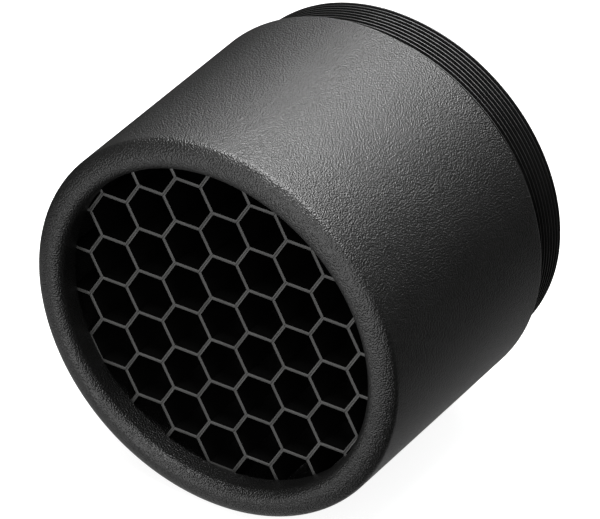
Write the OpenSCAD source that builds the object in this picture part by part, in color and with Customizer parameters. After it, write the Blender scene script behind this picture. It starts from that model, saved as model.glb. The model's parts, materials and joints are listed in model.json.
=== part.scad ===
// Honeycomb snoot for a spotlight: a round barrel with a rolled front lip, a honeycomb
// grid held behind that lip by a screwed ring, and a threaded collar that screws into
// the lamp. Units are millimetres.
//
// The barrel lies along Y with its mouth towards -Y. The origin is on the barrel's axis,
// in the plane of its rear face, where it seats against the lamp. +Z is up.

/* [Barrel] */
// Outside diameter of the barrel
barrel_d = 80.4; // [79:0.1:100]
// Length of the barrel from its rear face to the front of the lip
barrel_len = 54.3; // [46:0.1:90]
// Clear diameter of the mouth
mouth_d = 68.2; // [60:0.1:68.8]
// Depth from the front of the lip to the step that the grid rests on
lip_depth = 5.6; // [4:0.1:7]
// Rounding radius on the outer shoulder of the lip
lip_outer_r = 2; // [0.5:0.1:2.2]
// Rounding radius on the inside of the lip
lip_inner_r = 2.1; // [0.5:0.1:2.4]
// Bevel on the barrel's rear edge
rear_bevel = 0.4; // [0.2:0.1:0.8]

/* [Threaded collar] */
// Diameter over the thread's crests, which fits a 76 mm thread
thread_d = 75.9; // [75.5:0.1:75.9]
// Thread pitch
thread_pitch = 1; // [0.75:0.25:1.5]
// Length of the collar that stands out behind the barrel
collar_len = 10.7; // [8:0.1:16]
// Bore through the collar
collar_bore_d = 71.6; // [71.2:0.1:72.4]
// Diameter of the plain part of the collar, which is pressed into the barrel
spigot_d = 77; // [76.8:0.1:77.4]
// Length of the plain part of the collar
spigot_len = 8; // [5:0.5:12]
// Bevel at the collar's free end
collar_bevel = 0.3; // [0.2:0.1:0.8]

/* [Honeycomb grid] */
// Distance between opposite walls of a cell, wall centre to wall centre
cell_pitch = 9.5; // [6:0.1:12]
// Thickness of the cells' walls; a wall glued from two ribbons has half in each
wall = 0.72; // [0.4:0.02:1]
// Depth of the grid along the barrel
grid_depth = 16; // [10:0.5:18]
// Diameter that the grid is cut to
grid_d = 70.4; // [69.4:0.1:70.4]
// Sideways distance from the barrel's axis to the middle of the nearest cell
cell_off_x = -0.6; // [-4:0.05:4]
// Upward distance from the barrel's axis to the middle of the nearest cell
cell_off_z = -0.75; // [-4:0.05:4]
// Direction that the ribbons run in, up from the horizontal
ribbon_tilt = 60; // [0:5:90]

/* [Retaining ring] */
// Outside diameter of the ring, at the middle of its thread
ring_d = 70.9; // [70.5:0.1:71]
// Bore of the ring
ring_bore_d = 66.8; // [62:0.2:68]
// Thickness of the ring along the barrel
ring_len = 4; // [3:0.5:6]
// Width of the two spanner notches
notch_w = 2.5; // [1.5:0.1:4]
// Depth of the two spanner notches
notch_depth = 1.5; // [0.8:0.1:2]

/* [Hidden] */
$fn = 96;
eps = 0.01;

// The barrel's bore, where the ring runs in it with 0.05 mm of clearance all round
ring_seat_d = ring_d + 0.1;
// Whole turns that the ring makes between clamping the grid and leaving its thread
ring_turns = 6;
// A wider bore behind the ring's thread
relief_d = ring_seat_d + 1.4;

// The lip's front is a shallow crown, which meets the outer shoulder at 45 degrees
lip_crest_r = mouth_d / 2 + lip_inner_r;
lip_shoulder_r = barrel_d / 2 - lip_outer_r;
lip_crown_r = (lip_shoulder_r - lip_crest_r) * sqrt(2) + lip_outer_r;
lip_shoulder = barrel_len - lip_crown_r + (lip_crown_r - lip_outer_r) / sqrt(2);
lip_arc_steps = 8;

// Places along the barrel, measured forwards from its rear face
grid_front = barrel_len - lip_depth;
grid_back = grid_front - grid_depth;
ring_back = grid_back - ring_len;
relief_end = ring_back - ring_turns * thread_pitch - 1;

// Thread form: 60 degree flanks, crests of an eighth and roots of a quarter of the pitch
thread_depth = 0.5413 * thread_pitch;
crest_w = thread_pitch / 8;
root_w = thread_pitch / 4;
// Plain land between the barrel and the first groove, and the least land left at the end
first_land = 0.2;
last_land = 0.1;
groove_count = floor((collar_len - first_land - last_land - collar_bevel) / thread_pitch);

// Across the ribbons, glued faces lie half a cell apart
ribbon_step = cell_pitch / 2;
// Along a ribbon, its outline repeats every three cell sides
ribbon_period = cell_pitch * sqrt(3);
// Half the length of a cell's side, and of the glued face behind it
side_half = (cell_pitch - wall) / sqrt(3) / 2;
glued_half = (cell_pitch + 2 * wall) / sqrt(3) / 2;
// The centre cell's place along and across the ribbons
cell_u = cell_off_x * cos(ribbon_tilt) + cell_off_z * sin(ribbon_tilt);
cell_v = cell_off_z * cos(ribbon_tilt) - cell_off_x * sin(ribbon_tilt);
// Ribbons from the lowest to the highest that still reach the grid's round edge
first_ribbon = ceil((-grid_d / 2 - cell_v) / ribbon_step) - 1;
last_ribbon = floor((grid_d / 2 - cell_v) / ribbon_step);
ribbon_count = last_ribbon - first_ribbon + 1;
half_periods = ceil(grid_d / ribbon_period);

function two_digits(n) = str(n < 10 ? "0" : "", n);
RIBBONS = [for (i = [1:ribbon_count]) str("grid_ribbon_", two_digits(i))];

// Turns a shape drawn standing on its rear face, front upwards, into the barrel's frame
module lay_down() {
    rotate([90, 0, 0]) children();
}

// Corners along an arc, from one angle up to but not at the other, both from outwards
function arc(centre, radius, from, to) = [
    for (i = [0:lip_arc_steps - 1])
        let (a = from + (to - from) * i / lip_arc_steps)
        centre + radius * [cos(a), sin(a)]
];

// Half section of the lip, from its outer shoulder over the crown to the mouth
module lip_section() {
    polygon(concat(
        arc([lip_shoulder_r, lip_shoulder], lip_outer_r, 0, 45),
        arc([lip_crest_r, barrel_len - lip_crown_r], lip_crown_r, 45, 90),
        arc([lip_crest_r, barrel_len - lip_inner_r], lip_inner_r, 90, 180),
        [for (y = [barrel_len - lip_inner_r, grid_front - eps]) [mouth_d / 2, y]],
        [[barrel_d / 2, grid_front - eps]]
    ));
}

module barrel_section() {
    difference() {
        union() {
            square([barrel_d / 2, grid_front]);
            lip_section();
        }
        // Bore from the grid back to the end of the ring's thread
        translate([-eps, relief_end]) square([ring_seat_d / 2 + eps, grid_front - relief_end]);
        // Wider bore behind that thread
        translate([-eps, spigot_len]) square([relief_d / 2 + eps, relief_end - spigot_len + eps]);
        // Seat for the collar's spigot
        translate([-eps, -eps]) square([spigot_d / 2 + eps, spigot_len + eps]);
        // Bevel on the rear edge
        translate([barrel_d / 2, 0]) rotate(45) square(rear_bevel * sqrt(2), center = true);
    }
}

module barrel() {
    color("#2b2b2c") lay_down() rotate_extrude() barrel_section();
}

// One thread groove in half section, with its middle at the origin
module groove_section() {
    mouth_half = (thread_pitch - crest_w) / 2;
    root_half = root_w / 2;
    polygon([[0, -mouth_half], [-thread_depth, -root_half], [-thread_depth, root_half], [0, mouth_half]]);
}

module collar_section() {
    bore_r = collar_bore_d / 2;
    difference() {
        union() {
            translate([bore_r, 0]) square([spigot_d / 2 - bore_r, spigot_len]);
            translate([bore_r, -collar_len]) square([thread_d / 2 - bore_r, collar_len]);
        }
        for (i = [0:groove_count - 1])
            translate([thread_d / 2, -first_land - (i + 0.5) * thread_pitch]) groove_section();
        for (edge_r = [bore_r, thread_d / 2])
            translate([edge_r, -collar_len])
                rotate(45) square(collar_bevel * sqrt(2), center = true);
    }
}

module threaded_collar() {
    color("#151516") lay_down() rotate_extrude() collar_section();
}

module retaining_ring() {
    color("#1c1c1d") lay_down() difference() {
        translate([0, 0, ring_back]) difference() {
            cylinder(d = ring_d, h = ring_len);
            translate([0, 0, -eps]) cylinder(d = ring_bore_d, h = ring_len + 2 * eps);
        }
        for (side = [0, 180])
            rotate(side) translate([ring_bore_d / 2 - 1, -notch_w / 2, ring_back - eps])
                cube([ring_d, notch_w, notch_depth + eps]);
    }
}

// One face of a ribbon over half_periods repeats either side of the middle, along +X.
// Its flats lie in turn at v_high and v_low, and have those half lengths.
function ribbon_face(v_low, low_half, v_high, high_half) = [
    for (n = [-half_periods:half_periods])
        let (high = n * ribbon_period, low = (n + 0.5) * ribbon_period)
        each [[high - high_half, v_high], [high + high_half, v_high],
              [low - low_half, v_low], [low + low_half, v_low]]
];

function reversed(list) = [for (i = [len(list) - 1:-1:0]) list[i]];

// A zigzag strip between two glued faces half a cell apart, half as thick along its flats
module ribbon_outline() {
    upper = ribbon_face(wall / 2, side_half, ribbon_step, glued_half);
    lower = ribbon_face(0, glued_half, ribbon_step - wall / 2, side_half);
    polygon(concat(upper, reversed(lower)));
}

// Ribbon number k counts from the centre cell. Odd ribbons are shifted by half a period.
module grid_ribbon(k) {
    shift = k % 2 == 0 ? 0 : ribbon_period / 2;
    color("#3a3a3b") lay_down() translate([0, 0, grid_back]) intersection() {
        cylinder(d = grid_d, h = grid_depth);
        rotate(ribbon_tilt)
            translate([cell_u + shift, cell_v + k * ribbon_step, -eps])
                linear_extrude(grid_depth + 2 * eps) ribbon_outline();
    }
}

barrel();
threaded_collar();
retaining_ring();
for (i = [0:ribbon_count - 1])
    grid_ribbon(first_ribbon + i);
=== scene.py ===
"""A black honeycomb snoot lying on a pale floor under soft studio light.

Lengths are in metres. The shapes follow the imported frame's own boxes and corners. The
sizes given here, as a number of millimetres times MM, are those of the finish that the
CAD leaves out, such as helical threads and small bevels, and of the ring's notches.
"""
import json
import math

import bmesh
import bpy
from mathutils import Matrix, Vector


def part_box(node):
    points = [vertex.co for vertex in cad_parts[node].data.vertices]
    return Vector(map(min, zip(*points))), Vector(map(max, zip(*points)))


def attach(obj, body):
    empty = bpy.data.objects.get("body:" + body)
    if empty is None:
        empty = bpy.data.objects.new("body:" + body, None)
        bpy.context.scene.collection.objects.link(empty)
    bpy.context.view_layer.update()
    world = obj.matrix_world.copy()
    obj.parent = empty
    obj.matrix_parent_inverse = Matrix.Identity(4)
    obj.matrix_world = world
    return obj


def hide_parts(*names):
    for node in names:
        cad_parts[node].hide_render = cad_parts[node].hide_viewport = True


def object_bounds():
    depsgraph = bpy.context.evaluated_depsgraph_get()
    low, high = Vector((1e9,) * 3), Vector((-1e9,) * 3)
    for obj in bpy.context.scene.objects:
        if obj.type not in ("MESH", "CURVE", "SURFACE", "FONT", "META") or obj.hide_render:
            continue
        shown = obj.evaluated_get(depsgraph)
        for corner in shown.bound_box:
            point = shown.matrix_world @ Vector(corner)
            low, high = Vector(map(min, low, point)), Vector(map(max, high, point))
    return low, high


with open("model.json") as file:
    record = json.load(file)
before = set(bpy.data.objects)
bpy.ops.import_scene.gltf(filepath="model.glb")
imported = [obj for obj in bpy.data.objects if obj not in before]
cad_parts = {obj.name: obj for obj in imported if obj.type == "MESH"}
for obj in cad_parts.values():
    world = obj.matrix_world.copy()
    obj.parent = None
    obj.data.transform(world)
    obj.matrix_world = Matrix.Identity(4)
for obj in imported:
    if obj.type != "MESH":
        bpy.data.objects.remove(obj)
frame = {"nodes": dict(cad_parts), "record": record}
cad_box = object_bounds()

MM = 0.001
MERGE = 1e-7                # points closer than this are one point
NEAR = 0.01 * MM            # a CAD corner this close to a plane or a radius lies on it
SEGMENTS = 240              # facets round every turned piece
EDGE_BEVEL = 0.12 * MM      # on the machined edges that the CAD leaves sharp

record = frame["record"]
RIBBONS = record["behaviour"]["bodies"]["grid"]

# Both threads have 60 degree flanks, and the pitch by which the ring moves back each turn.
PITCH = 2 * math.pi * record["behaviour"]["couplings"][0]["ratio"]
THREAD_SLOPE = math.sqrt(3)  # rise of a flank per unit along the axis
FLANK_MIDDLE = 0.25         # pitches from a crest to where the flank has the pitch radius

# The collar's crests and grooves are those of the CAD.
COLLAR_CREST_R = record["mounts"][0]["dims"]["r_mm"] * MM
CREST_WIDTH = 1 / 8         # in pitches
THREAD_DEPTH = 0.5413 * PITCH

# The ring's thread and the one inside the barrel share one helix, and the pitch radii in
# the CAD keep a clearance between them at every pose.
RING_HEIGHT = 0.25 * MM     # crest above the pitch radius
RING_DEPTH = 0.27 * MM      # root below it
BORE_HEIGHT = 0.30 * MM     # the barrel's groove, outwards from its pitch radius
BORE_DEPTH = 0.24 * MM      # its crest, inwards from its pitch radius

NOISE_MIDDLE = (0.3, 0.7)   # most values of a noise lie between these
WARM = 0.97                 # blue in each black finish, as a share of its red and green

# The camera was fitted to the photo. Its angles are in degrees, its lens in millimetres.
CAMERA_AZIMUTH = 31.98
CAMERA_ELEVATION = 33.77
CAMERA_ROLL = 1.16
CAMERA_LENS = 398.7
CAMERA_DISTANCE = 1.2676
AIM_OFFSET = Vector((-0.33, -0.52, -0.90)) * MM   # of the picture's middle from the object's
LIGHT_DISTANCE = 1.2
FLOOR_HALF = 3.0


# ---------------------------------------------------------------- reading the frame

def corner_radii(node, y):
    """Radii, smallest first, of the corners that a turned CAD node has in the plane at y."""
    return sorted(math.hypot(v.co.x, v.co.z) for v in frame["nodes"][node].data.vertices
                  if abs(v.co.y - y) < NEAR)


def corner_places(node, radius):
    """The places along the axis, from the front, of the corners that it has at a radius."""
    return sorted({round(v.co.y, 6) for v in frame["nodes"][node].data.vertices
                   if abs(math.hypot(v.co.x, v.co.z) - radius) < NEAR})


# ---------------------------------------------------------------- turned pieces

def plain_row(radius, y):
    """One circle of a turned piece, as a radius and a place along the axis per column."""
    return [(radius, y)] * (SEGMENTS + 1)


def arc(centre_r, centre_y, radius, start, end, steps):
    """Corners along an arc of the half section, between two angles up from outwards."""
    angles = [math.radians(start + (end - start) * i / steps) for i in range(steps + 1)]
    return [(centre_r + radius * math.cos(a), centre_y + radius * math.sin(a)) for a in angles]


def supported(points):
    """The same corners, with extra ones near the ends of each long straight, so that the
    smooth shading of a rounded edge does not spread over the flat beside it."""
    margin = 0.12 * MM
    shortest = 4 * margin
    rows = []
    for (r0, y0), (r1, y1) in zip(points, points[1:]):
        rows.append((r0, y0))
        length = math.hypot(r1 - r0, y1 - y0)
        if length > shortest:
            for share in (margin / length, 1 - margin / length):
                rows.append((r0 + (r1 - r0) * share, y0 + (y1 - y0) * share))
    return rows + [points[-1]]


def plain_rows(points):
    return [plain_row(r, y) for r, y in supported(points)]


def thread_rows(y_start, y_end, pitch_r, low_r, high_r, shape, crest_y=0.0):
    """Circles that climb with a right-handed thread between two planes.

    pitch_r is the radius halfway up the flanks, low_r and high_r cut the 60 degree form
    off, and shape(radius, y) adds the run-outs and bevels. It has to give one radius at
    y_start and one at y_end, because every circle is held between those planes. A crest
    passes through crest_y straight above the axis."""
    near = FLANK_MIDDLE - (high_r - pitch_r) / (THREAD_SLOPE * PITCH)
    far = FLANK_MIDDLE + (pitch_r - low_r) / (THREAD_SLOPE * PITCH)
    # In pitches from a crest: its middle, its edge, two places on the flank, the root's edge
    flank = [0, near, near + (far - near) / 3, near + (far - near) * 2 / 3, far]
    steps = flank + [0.5] + [1 - s for s in reversed(flank[1:])]
    first = math.floor((y_start - crest_y) / PITCH) - 1
    last = math.ceil((y_end - crest_y) / PITCH) + 1
    rows = []
    for turn in range(first, last):
        for step in steps:
            off_crest = min(step, 1 - step)
            form = pitch_r + (FLANK_MIDDLE - off_crest) * PITCH * THREAD_SLOPE
            form = min(max(form, low_r), high_r)
            row = []
            for column in range(SEGMENTS + 1):
                y = crest_y + (turn + step + column / SEGMENTS) * PITCH
                y = min(max(y, y_start), y_end)
                row.append((shape(form, y), y))
            rows.append(row)
    return rows


def turned_piece(name, rows):
    """A solid of revolution about Y. The rows go once round its half section."""
    width = SEGMENTS + 1
    angles = [2 * math.pi * c / SEGMENTS for c in range(width)]
    points = [(r * math.sin(a), y, r * math.cos(a))
              for row in rows for (r, y), a in zip(row, angles)]
    faces = []
    for i in range(len(rows)):
        a, b = i * width, (i + 1) % len(rows) * width
        faces += [(a + c, a + c + 1, b + c + 1, b + c) for c in range(SEGMENTS)]
    mesh = bpy.data.meshes.new(name)
    mesh.from_pydata(points, [], faces)
    bm = bmesh.new()
    bm.from_mesh(mesh)
    bmesh.ops.remove_doubles(bm, verts=bm.verts, dist=MERGE)
    bmesh.ops.dissolve_degenerate(bm, edges=bm.edges, dist=MERGE)
    bmesh.ops.recalc_face_normals(bm, faces=bm.faces)
    bm.to_mesh(mesh)
    bm.free()
    return link(name, mesh)


def link(name, mesh):
    piece = bpy.data.objects.new(name, mesh)
    bpy.context.scene.collection.objects.link(piece)
    return piece


def smooth(piece, sharp_degrees=28):
    piece.data.shade_smooth()
    piece.data.set_sharp_from_angle(angle=math.radians(sharp_degrees))


def place(piece, body, slot, material, *nodes):
    """Gives a finished piece its material, and puts it on its body in place of CAD nodes."""
    piece.data.materials.clear()
    piece.data.materials.append(material)
    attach(piece, body)
    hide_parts(*nodes)


# ---------------------------------------------------------------- barrel

def lip_arcs(front, mouth_r, outer):
    """The lip's three arcs: its outer shoulder, its shallow crown and its inside. The crown
    meets the shoulder at 45 degrees."""
    crest_r = corner_radii("barrel", front)[0]
    shoulder_y = corner_places("barrel", outer)[0]
    reach = outer - crest_r
    shoulder = (shoulder_y - front - (math.sqrt(2) - 1) * reach) / (2 - math.sqrt(2))
    crown = (reach - shoulder) * math.sqrt(2) + shoulder
    inside = crest_r - mouth_r
    return (arc(outer - shoulder, shoulder_y, shoulder, 0, -45, steps=10)
            + arc(crest_r, front + crown, crown, -45, -90, steps=12)[1:]
            + arc(crest_r, front + inside, inside, -90, -180, steps=20)[1:])


def rear_edge(rear, outer):
    """The barrel's 45 degree rear bevel, rounded by the coat where it meets the outside."""
    bevel_degrees = 45
    bevel = outer - corner_radii("barrel", rear)[-1]
    rounding = 2 * bevel
    rounded_to = rear - bevel - rounding * math.tan(math.radians(bevel_degrees / 2))
    return ([(outer - bevel, rear)]
            + arc(outer - rounding, rounded_to, rounding, bevel_degrees, 0, steps=8))


def barrel_rows():
    """Half section of the barrel, from its rear edge forwards, round the lip and back."""
    low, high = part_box("barrel")
    front, rear, outer = low.y, high.y, high.x
    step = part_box(RIBBONS[0])[0].y
    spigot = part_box("threaded_collar")[0].y
    at_step, at_spigot = corner_radii("barrel", step), corner_radii("barrel", spigot)
    mouth_r, bore_r = at_step[0], at_step[-1]
    relief_r, seat_r = at_spigot[0], at_spigot[-1]
    relief_start = corner_places("barrel", bore_r)[-1]

    # The bore's thread begins in front of the ring and runs out there. It ends in a bevel.
    thread_lead = 0.8 * MM
    run_out = 0.6 * MM
    bore_bevel = 0.7 * MM
    thread_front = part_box("retaining_ring")[0].y - thread_lead

    def bore_shape(form, y):
        share = min(max((y - thread_front) / run_out, 0), 1)
        bevelled = bore_r - BORE_DEPTH + max(0, y - (relief_start - bore_bevel))
        return max(bore_r + (form - bore_r) * share, bevelled)

    outside = rear_edge(rear, outer) + lip_arcs(front, mouth_r, outer)
    inside = [(mouth_r, step - EDGE_BEVEL), (mouth_r + EDGE_BEVEL, step), (bore_r, step),
              (bore_r, thread_front)]
    thread = thread_rows(thread_front, relief_start, bore_r, bore_r - BORE_DEPTH,
                         bore_r + BORE_HEIGHT, bore_shape)
    behind = [(relief_r, relief_start), (relief_r, spigot), (seat_r, spigot),
              (seat_r, rear - EDGE_BEVEL), (seat_r + EDGE_BEVEL, rear)]
    return plain_rows(outside + inside) + thread + plain_rows(behind)


def make_barrel(coat, rubbed_coat):
    """The barrel, with its coat rubbed glossier on the rounded rear edge."""
    barrel = turned_piece("barrel_shell", barrel_rows())
    smooth(barrel)
    place(barrel, "barrel_body", "barrel_coat", coat, "barrel")
    barrel.data.materials.append(rubbed_coat)
    rim_r = corner_radii("barrel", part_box("barrel")[1].y)[-1]
    least_lean = 0.02
    for face in barrel.data.polygons:
        outside = math.hypot(face.center.x, face.center.z) > rim_r
        face.material_index = int(outside and face.normal.y > least_lean)


# ---------------------------------------------------------------- threaded collar

def collar_rows():
    """Half section of the collar, from its plain part back along the thread and the bore."""
    low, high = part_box("threaded_collar")
    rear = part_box("barrel")[1].y
    spigot_r = high.x
    bore_r = corner_radii("threaded_collar", low.y)[0]
    at_end = corner_radii("threaded_collar", high.y)
    end_in, end_out = at_end[0], at_end[-1]
    pitch_r = COLLAR_CREST_R - (FLANK_MIDDLE - CREST_WIDTH / 2) * PITCH * THREAD_SLOPE
    second_crest = corner_places("threaded_collar", COLLAR_CREST_R)[2:4]

    # The thread deepens over a run-out behind the plain land, and fades before the bevel.
    land = 0.1 * MM
    run_out = 0.3 * MM
    last_cut = high.y - (COLLAR_CREST_R - end_out)

    def collar_shape(form, y):
        share = min(max(min(y - rear - land, last_cut - y) / run_out, 0), 1)
        bevelled = COLLAR_CREST_R - max(0, y - last_cut)
        return min(COLLAR_CREST_R - (COLLAR_CREST_R - form) * share, bevelled)

    front = [(bore_r, low.y), (spigot_r - EDGE_BEVEL, low.y), (spigot_r, low.y + EDGE_BEVEL),
             (spigot_r, rear - EDGE_BEVEL), (spigot_r - EDGE_BEVEL, rear),
             (COLLAR_CREST_R, rear)]
    thread = thread_rows(rear, high.y, pitch_r, COLLAR_CREST_R - THREAD_DEPTH,
                         COLLAR_CREST_R, collar_shape, sum(second_crest) / 2)
    back = [(end_out, high.y), (end_in, high.y), (bore_r, high.y - (end_in - bore_r)),
            (bore_r, low.y)]
    return plain_rows(front) + thread + plain_rows(back)


def make_collar(anodised_black, groove_shade):
    """The collar, with a darker, duller black on the sloping flanks of the thread: painted shade
    in the grooves.
    """
    collar = turned_piece("collar_threaded", collar_rows())
    smooth(collar)
    place(collar, "barrel_body", "collar_anodised", anodised_black, "threaded_collar")
    collar.data.materials.append(groove_shade)
    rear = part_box("barrel")[1].y
    lowest_r = COLLAR_CREST_R - THREAD_DEPTH - 0.05 * MM
    least_slope, most_slope = 0.2, 0.95
    for face in collar.data.polygons:
        radius = math.hypot(face.center.x, face.center.z)
        in_thread = lowest_r < radius < COLLAR_CREST_R and face.center.y > rear
        sloping = least_slope < abs(face.normal.y) < most_slope
        # The sloping flanks in the thread take the painted groove shade.
        face.material_index = int(in_thread and sloping)


# ---------------------------------------------------------------- retaining ring

def ring_rows():
    """Half section of the ring: a threaded outside, a bevelled bore and flat faces."""
    low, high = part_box("retaining_ring")
    pitch_r = high.x
    bore_r = corner_radii("retaining_ring", low.y)[0]
    crest_r, root_r = pitch_r + RING_HEIGHT, pitch_r - RING_DEPTH
    bevel = 0.6 * MM
    inner_bevel = 0.3 * MM

    def ring_shape(form, y):
        edge = max(0, low.y + bevel - y, y - (high.y - bevel))
        return min(form, crest_r - edge)

    thread = thread_rows(low.y, high.y, pitch_r, root_r, crest_r, ring_shape)
    bore = [(crest_r - bevel, high.y), (bore_r + inner_bevel, high.y),
            (bore_r, high.y - inner_bevel), (bore_r, low.y + inner_bevel),
            (bore_r + inner_bevel, low.y), (crest_r - bevel, low.y)]
    return thread + plain_rows(bore)


def notch_cutter(side):
    """A bar that cuts one spanner notch, with flared sides that bevel the notch's edges."""
    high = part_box("retaining_ring")[1]
    half = 1.25 * MM            # half the width of the notch in the CAD
    depth = 1.5 * MM            # its depth there
    flare = 0.15 * MM
    spare = 1 * MM              # how far the bar stands out behind the ring
    reach_in = 5 * MM           # from the ring's outside, and past its bore
    reach_out = 2 * MM
    floor_y = high.y - depth
    section = [(-half, floor_y), (half, floor_y), (half, high.y - flare),
               (half + flare + spare, high.y + spare), (-half - flare - spare, high.y + spare),
               (-half, high.y - flare)]
    inner, outer = side * (high.x - reach_in), side * (high.x + reach_out)
    bm = bmesh.new()
    ends = [[bm.verts.new((x, y, z)) for z, y in section] for x in (inner, outer)]
    for a, b, c, d in zip(ends[0], ends[0][1:] + ends[0][:1],
                          ends[1][1:] + ends[1][:1], ends[1]):
        bm.faces.new((a, b, c, d))
    bm.faces.new(ends[0])
    bm.faces.new(ends[1])
    bmesh.ops.recalc_face_normals(bm, faces=bm.faces)
    mesh = bpy.data.meshes.new("notch_cutter")
    bm.to_mesh(mesh)
    bm.free()
    return link("notch_cutter", mesh)


def cut(piece, cutter):
    """Takes the cutter's space out of the piece, and removes the cutter."""
    boolean = piece.modifiers.new("notch", "BOOLEAN")
    boolean.operation = "DIFFERENCE"
    boolean.solver = "EXACT"
    boolean.object = cutter
    graph = bpy.context.evaluated_depsgraph_get()
    piece.data = bpy.data.meshes.new_from_object(piece.evaluated_get(graph))
    piece.modifiers.clear()
    bpy.data.objects.remove(cutter)


def make_ring(anodised_black):
    """The ring, with a spanner notch on either side of its rear face."""
    ring = turned_piece("ring_threaded", ring_rows())
    for side in (1, -1):
        cut(ring, notch_cutter(side))
    smooth(ring)
    place(ring, "ring", "ring_anodised", anodised_black, "retaining_ring")


# ---------------------------------------------------------------- honeycomb grid

def make_ribbon(node, paint, cut_paint):
    """One folded strip, with every edge softened as paint softens it. The softened edges
    of two strips that touch leave the fine seam along each glued wall. The edges that the
    grid is seen by from the front and the rear have their own paint, and the walls inside the
    cells a far darker one, which is partly their matt coat and partly painted shade."""
    flat_angle, least_fold = math.radians(1), math.radians(20)
    softening = 0.05 * MM
    end_facing = 0.5
    bm = bmesh.new()
    bm.from_mesh(frame["nodes"][node].data)
    bmesh.ops.remove_doubles(bm, verts=bm.verts, dist=MERGE)
    bmesh.ops.dissolve_limit(bm, angle_limit=flat_angle, verts=bm.verts, edges=bm.edges)
    edges = [e for e in bm.edges if e.is_manifold and e.calc_face_angle() > least_fold]
    bmesh.ops.bevel(bm, geom=edges, offset=softening, offset_type="OFFSET", segments=2,
                    profile=0.5, affect="EDGES", clamp_overlap=True)
    bmesh.ops.recalc_face_normals(bm, faces=bm.faces)
    mesh = bpy.data.meshes.new(node + "_strip")
    bm.to_mesh(mesh)
    bm.free()
    ribbon = link(node + "_strip", mesh)
    smooth(ribbon, sharp_degrees=40)
    place(ribbon, "grid", "grid_coat", paint, node)
    ribbon.data.materials.append(cut_paint)
    # Faces towards the front or the rear take the edge paint; the walls inside the cells keep the
    # darker one, partly painted shade.
    for face in ribbon.data.polygons:
        face.material_index = int(abs(face.normal.y) > end_facing)


def make_grid(paint, cut_paint):
    for node in RIBBONS:
        make_ribbon(node, paint, cut_paint)


# ---------------------------------------------------------------- materials

def start_material(name):
    material = bpy.data.materials.new(name)
    material.use_nodes = True
    return material, material.node_tree, material.node_tree.nodes["Principled BSDF"]


def add_node(tree, kind, settings=None, **inputs):
    """A node with its settings and unlinked inputs set. Input names use _ for a space."""
    node = tree.nodes.new(kind)
    for key, value in (settings or {}).items():
        setattr(node, key, value)
    for key, value in inputs.items():
        socket = node.inputs[key.replace("_", " ")]
        if isinstance(value, bpy.types.NodeSocket):
            tree.links.new(value, socket)
        else:
            socket.default_value = value
    return node


def object_place(tree, stretch=(1, 1, 1)):
    """Coordinates that stay with the piece, scaled along each axis."""
    coordinates = add_node(tree, "ShaderNodeTexCoord").outputs["Object"]
    return add_node(tree, "ShaderNodeMapping", Vector=coordinates, Scale=stretch).outputs["Vector"]


def noise(tree, vector, size, detail):
    """Noise whose grains are about size across, in metres."""
    return add_node(tree, "ShaderNodeTexNoise", Vector=vector, Scale=1 / size,
                    Detail=detail).outputs["Fac"]


def ranged(tree, value, at_low, at_high, source=NOISE_MIDDLE):
    """A value moved from the source's range to one between at_low and at_high."""
    return add_node(tree, "ShaderNodeMapRange", Value=value, From_Min=source[0],
                    From_Max=source[1], To_Min=at_low, To_Max=at_high).outputs["Result"]


def pebble_heights(tree, vector, size):
    """Rounded pebbles about size across, in metres, from 0 between them to 1 on top."""
    distance = add_node(tree, "ShaderNodeTexVoronoi", {"feature": "SMOOTH_F1"}, Vector=vector,
                        Scale=1 / size).outputs["Distance"]
    farthest = 0.7
    return ranged(tree, distance, at_low=1, at_high=0, source=(0, farthest))


def grey_ramp(tree, value, dark, light):
    """A grey that runs from dark to light over the middle of the value's range."""
    ramp = add_node(tree, "ShaderNodeValToRGB", Fac=value)
    for element, position, grey in zip(ramp.color_ramp.elements, NOISE_MIDDLE, (dark, light)):
        element.position = position
        element.color = (grey, grey, grey * WARM, 1)
    return ramp.outputs["Color"]


def bumped(tree, height, depth, strength):
    return add_node(tree, "ShaderNodeBump", Height=height, Distance=depth,
                    Strength=strength).outputs["Normal"]


def powder_coat(name, shine):
    """Fine-textured black powder coat: rounded pebbles with duller hollows between them,
    and a slow unevenness of colour."""
    material, tree, shader = start_material(name)
    shader.inputs["Specular IOR Level"].default_value = shine
    place_on = object_place(tree)
    pebbles = pebble_heights(tree, place_on, size=0.29 * MM)
    drift = noise(tree, place_on, size=9 * MM, detail=3)
    colour = grey_ramp(tree, drift, dark=0.004, light=0.006)
    roughness = ranged(tree, pebbles, at_low=0.4, at_high=0.33)
    relief = bumped(tree, pebbles, depth=0.12 * MM, strength=1)
    tree.links.new(colour, shader.inputs["Base Color"])
    tree.links.new(roughness, shader.inputs["Roughness"])
    tree.links.new(relief, shader.inputs["Normal"])
    return material


def painted_groove_shade():
    """Matt black on the thread's flanks, darker than the collar: painted shade in the grooves."""
    material, tree, shader = start_material("collar_groove_painted_shade")
    shader.inputs["Specular IOR Level"].default_value = 0.1
    cloud = noise(tree, object_place(tree), size=3 * MM, detail=3)
    colour = grey_ramp(tree, cloud, dark=0.0015, light=0.0025)
    roughness = ranged(tree, cloud, at_low=0.5, at_high=0.6)
    tree.links.new(colour, shader.inputs["Base Color"])
    tree.links.new(roughness, shader.inputs["Roughness"])
    return material


def anodised(name, rough, shine):
    """Black anodised metal with the fine rings that a lathe tool leaves. The rings are a
    noise that hardly changes across the axis."""
    material, tree, shader = start_material(name)
    shader.inputs["Specular IOR Level"].default_value = shine
    rings = noise(tree, object_place(tree, stretch=(0.02, 1, 0.02)), size=0.09 * MM, detail=3)
    stain = noise(tree, object_place(tree), size=6 * MM, detail=3)
    colour = grey_ramp(tree, stain, dark=0.003, light=0.005)
    roughness = ranged(tree, rings, at_low=rough - 0.04, at_high=rough + 0.06)
    relief = bumped(tree, rings, depth=0.001 * MM, strength=0.5)
    tree.links.new(colour, shader.inputs["Base Color"])
    tree.links.new(roughness, shader.inputs["Roughness"])
    tree.links.new(relief, shader.inputs["Normal"])
    return material


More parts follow.
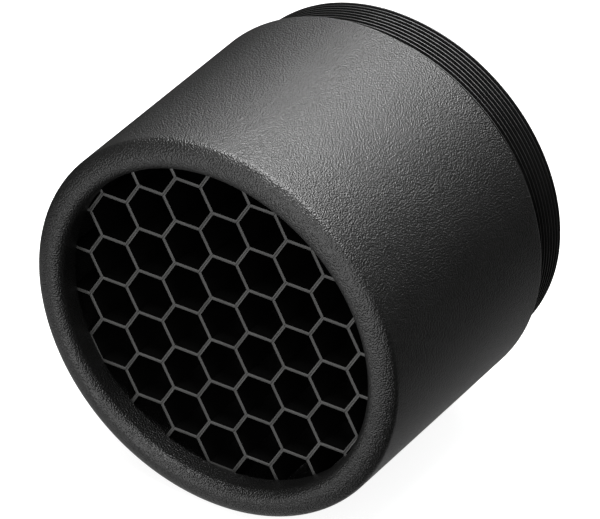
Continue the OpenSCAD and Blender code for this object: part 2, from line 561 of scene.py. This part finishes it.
def grid_paint(name, dark, light, rough, shine):
    """Thin black paint on rolled strip, with a faint mottle."""
    material, tree, shader = start_material(name)
    shader.inputs["Specular IOR Level"].default_value = shine
    place_on = object_place(tree)
    mottle = noise(tree, place_on, size=0.35 * MM, detail=2)
    cloud = noise(tree, place_on, size=4 * MM, detail=3)
    colour = grey_ramp(tree, cloud, dark, light)
    roughness = ranged(tree, mottle, at_low=rough - 0.04, at_high=rough + 0.04)
    relief = bumped(tree, mottle, depth=0.004 * MM, strength=0.5)
    tree.links.new(colour, shader.inputs["Base Color"])
    tree.links.new(roughness, shader.inputs["Roughness"])
    tree.links.new(relief, shader.inputs["Normal"])
    return material


def cell_black_and_shade():
    """Matt black inside the cells, far darker than the edges: partly the walls' own coat, partly
    painted shade where light doesn't reach into the cells.
    """
    return grid_paint("grid_cells_black_and_shade", dark=0.0012, light=0.0018, rough=0.7, shine=0.03)


def edge_paint():
    """Semi-gloss black on the edges that face the front and the rear."""
    return grid_paint("grid_edges_black", dark=0.031, light=0.041, rough=0.42, shine=0.5)


# ---------------------------------------------------------------- studio

def middle():
    low, high = (Vector(corner) for corner in cad_box)
    return (low + high) / 2


def away(azimuth, elevation):
    """The direction from the object towards a view or a light. Azimuth 0 is in front of
    the mouth, and 90 is to its right as seen from the front."""
    a, e = math.radians(azimuth), math.radians(elevation)
    return Vector((math.sin(a) * math.cos(e), -math.cos(a) * math.cos(e), math.sin(e)))


def facing(back, roll=0.0):
    """A rotation that looks against back, with level sides turned by roll degrees."""
    right = Vector((0, 0, 1)).cross(back).normalized()
    up = back.cross(right)
    turn = Matrix((right, up, back)).transposed()
    return (turn @ Matrix.Rotation(math.radians(roll), 3, "Z")).to_4x4()


def add_camera():
    """A long lens at the photo's viewing angle."""
    back = away(CAMERA_AZIMUTH, CAMERA_ELEVATION)
    stand = middle() + AIM_OFFSET + back * CAMERA_DISTANCE
    camera = bpy.data.objects.new("camera", bpy.data.cameras.new("camera"))
    camera.data.sensor_width = 36
    camera.data.lens = CAMERA_LENS
    camera.data.clip_start = 0.05
    camera.data.clip_end = 20
    camera.matrix_world = Matrix.Translation(stand) @ facing(back, CAMERA_ROLL)
    bpy.context.scene.collection.objects.link(camera)
    bpy.context.scene.camera = camera


def add_softbox(name, azimuth, elevation, width, height, radiance):
    """A rectangular soft light that shines on the object's middle."""
    light = bpy.data.lights.new(name, "AREA")
    light.shape = "RECTANGLE"
    light.size, light.size_y = width, height
    light.energy = radiance * math.pi * width * height
    back = away(azimuth, elevation)
    lamp = bpy.data.objects.new(name, light)
    lamp.matrix_world = Matrix.Translation(middle() + back * LIGHT_DISTANCE) @ facing(back)
    lamp.visible_camera = False
    bpy.context.scene.collection.objects.link(lamp)


def add_lights():
    """Strong boxes above and behind, one in front for the lip, and weak fills. The numbers
    are azimuth, elevation, width, height and radiance."""
    add_softbox("overhead_softbox", 0, 89, 1.0, 1.0, 9.5)
    add_softbox("overhead_key", 180, 80, 0.8, 0.5, 14)
    add_softbox("rear_key", 180, 42, 1.3, 0.5, 5.0)
    add_softbox("rear_left_softbox", 210, 40, 0.6, 0.6, 2.6)
    add_softbox("rear_level_softbox", 205, 2, 0.9, 0.5, 0.4)
    add_softbox("front_softbox", 0, 0, 1.6, 1.2, 3.0)
    add_softbox("front_right_fill", 30, 45, 0.8, 0.8, 1.4)
    add_softbox("front_left_low_fill", 315, -40, 1.0, 1.0, 0.45)
    add_softbox("rear_left_low_fill", 240, -60, 1.2, 1.2, 0.5)
    add_softbox("rear_low_fill", 180, -45, 1.0, 0.8, 0.34)


def add_world():
    """A dim grey dome lights the object. The camera sees it as plain white."""
    world = bpy.data.worlds.new("studio")
    world.use_nodes = True
    tree = world.node_tree
    dome = tree.nodes["Background"]
    dome.inputs["Color"].default_value = (0.01, 0.01, 0.01, 1)
    pale = add_node(tree, "ShaderNodeBackground", Color=(1, 1, 1, 1))
    seen = add_node(tree, "ShaderNodeLightPath").outputs["Is Camera Ray"]
    mix = add_node(tree, "ShaderNodeMixShader", Fac=seen)
    tree.links.new(dome.outputs[0], mix.inputs[1])
    tree.links.new(pale.outputs[0], mix.inputs[2])
    tree.links.new(mix.outputs[0], tree.nodes["World Output"].inputs["Surface"])
    bpy.context.scene.world = world


def floor_material():
    """A dull floor with a glow of its own, so that it looks as pale as the dome."""
    material, _, shader = start_material("floor_pale")
    shader.inputs["Base Color"].default_value = (0.3, 0.3, 0.3, 1)
    shader.inputs["Roughness"].default_value = 1
    shader.inputs["Emission Color"].default_value = (1, 1, 1, 1)
    shader.inputs["Emission Strength"].default_value = 0.9
    return material


def add_floor():
    """A square floor that puts no light, shadow or reflection on the object."""
    half = FLOOR_HALF
    z = cad_box[0][2]
    mesh = bpy.data.meshes.new("floor")
    mesh.from_pydata([(-half, -half, z), (half, -half, z), (half, half, z), (-half, half, z)],
                     [], [(0, 1, 2, 3)])
    mesh.materials.append(floor_material())
    floor = link("floor", mesh)
    floor.visible_glossy = False
    floor.visible_diffuse = False
    floor.visible_shadow = False


def main():
    bpy.context.scene.view_settings.view_transform = "Standard"
    coat = powder_coat("powder_coat_black", shine=0.5)
    make_barrel(coat, rubbed_coat=powder_coat("powder_coat_rubbed", shine=0.8))
    make_collar(anodised("collar_black_anodised", rough=0.46, shine=1.0), painted_groove_shade())
    make_ring(anodised("ring_black_anodised", rough=0.34, shine=0.5))
    make_grid(cell_black_and_shade(), edge_paint())
    add_camera()
    add_lights()
    add_world()
    add_floor()


main()
